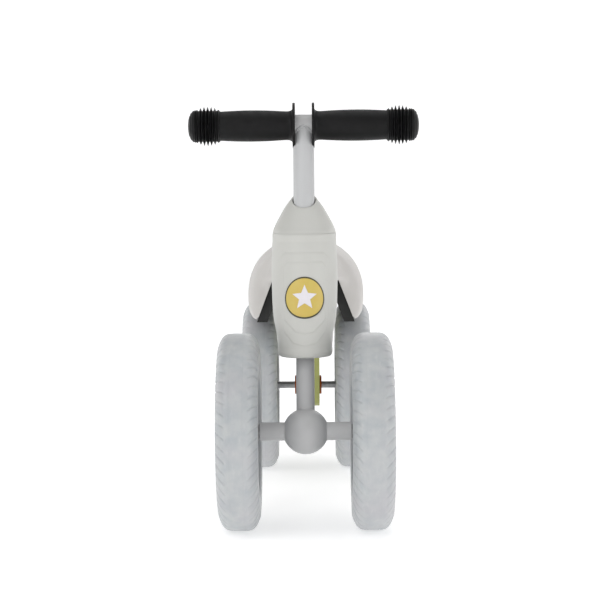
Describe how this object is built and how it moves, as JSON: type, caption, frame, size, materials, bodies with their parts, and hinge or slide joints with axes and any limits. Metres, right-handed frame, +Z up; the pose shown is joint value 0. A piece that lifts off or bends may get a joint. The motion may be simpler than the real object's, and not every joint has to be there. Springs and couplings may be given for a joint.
{
  "type": "balance bike",
  "caption": "Toddler balance bike with foam tyres, a moulded saddle over a covered steel frame, and a T-shaped handlebar that steers the front axle.",
  "frame": {"origin": "on the ground, under the middle of the bike's bounding box", "axes": "+Z up, the bike's front faces -Y, +X is the rider's left, wheel axles along X"},
  "size_m": [0.2334, 0.559, 0.4193],
  "materials": {
    "steel_painted": "satin light grey powder coat",
    "stem_painted": "satin pale grey powder coat",
    "steel_zinc": "bright zinc",
    "steel_dark": "dull dark zinc",
    "cover_white": "satin warm white",
    "saddle": "soft matte polyurethane skin over foam",
    "pan_black": "fine-grained black",
    "tail_yellow": "satin yellow-green",
    "collar_orange": "satin orange",
    "badge_yellow": "glossy yellow",
    "badge_dark": "glossy dark olive",
    "badge_white": "glossy white",
    "nylon": "natural nylon",
    "grip_rubber": "matte black",
    "tyre_foam": "matte light grey foam",
    "rim_plastic": "satin light grey",
    "cap_plastic": "satin light grey"
  },
  "bodies": {
    "frame": {"head_tube": "steel_painted", "bush_lower": "nylon", "bush_upper": "nylon", "main_tube": "steel_painted", "tube_plug": "pan_black", "rear_stay": "steel_painted", "rear_boss": "steel_painted", "seat_bracket": "steel_painted", "seat_bolts": "steel_dark", "beam_left": "cover_white", "beam_right": "cover_white", "beam_screws": "steel_dark", "front_shroud": "cover_white", "top_cowl": "cover_white", "badge_ring": "badge_dark", "badge_disc": "badge_yellow", "badge_star": "badge_white", "seat_pan": "pan_black", "seat_pad": "saddle", "tail_cover_left": "tail_yellow", "tail_cover_right": "tail_yellow", "tail_screws": "steel_dark", "rear_axle": "steel_zinc", "rear_nuts": "steel_zinc", "rear_washers": "steel_zinc", "rear_flanges": "collar_orange"},
    "steering": {"fork_leg": "steel_painted", "crown_ring": "steel_painted", "top_collar": "steel_dark", "collar_screw": "steel_dark", "stop_pin": "steel_zinc", "axle_tube": "steel_painted", "hub_ball_front": "steel_painted", "hub_ball_rear": "steel_painted", "front_axle": "steel_zinc", "front_nuts": "steel_zinc", "front_washers": "steel_zinc", "stem_tube": "stem_painted", "snap_button": "steel_zinc", "crossbar": "steel_painted", "grip_left": "grip_rubber", "grip_right": "grip_rubber"},
    "wheel_front_left": {"tyre_front_left": "tyre_foam", "rim_front_left": "rim_plastic", "bush_front_left": "nylon", "cap_front_left": "cap_plastic"},
    "wheel_front_right": {"tyre_front_right": "tyre_foam", "rim_front_right": "rim_plastic", "bush_front_right": "nylon", "cap_front_right": "cap_plastic"},
    "wheel_rear_left": {"tyre_rear_left": "tyre_foam", "rim_rear_left": "rim_plastic", "bush_rear_left": "nylon", "cap_rear_left": "cap_plastic"},
    "wheel_rear_right": {"tyre_rear_right": "tyre_foam", "rim_rear_right": "rim_plastic", "bush_rear_right": "nylon", "cap_rear_right": "cap_plastic"}
  },
  "joints": [
    {"name": "steering_turn", "type": "hinge", "parent": "frame", "child": "steering", "pos_m": [0, -0.183, 0.0965], "axis": [0, 0.2588, 0.9659], "range_deg": [-67.5, 67.5]},
    {"name": "wheel_spin_front_left", "type": "hinge", "parent": "steering", "child": "wheel_front_left", "pos_m": [0.0648, -0.183, 0.0965], "axis": [1, 0, 0], "continuous": true},
    {"name": "wheel_spin_front_right", "type": "hinge", "parent": "steering", "child": "wheel_front_right", "pos_m": [-0.0648, -0.183, 0.0965], "axis": [1, 0, 0], "continuous": true},
    {"name": "wheel_spin_rear_left", "type": "hinge", "parent": "frame", "child": "wheel_rear_left", "pos_m": [0.0536, 0.183, 0.0965], "axis": [1, 0, 0], "continuous": true},
    {"name": "wheel_spin_rear_right", "type": "hinge", "parent": "frame", "child": "wheel_rear_right", "pos_m": [-0.0536, 0.183, 0.0965], "axis": [1, 0, 0], "continuous": true}
  ]
}
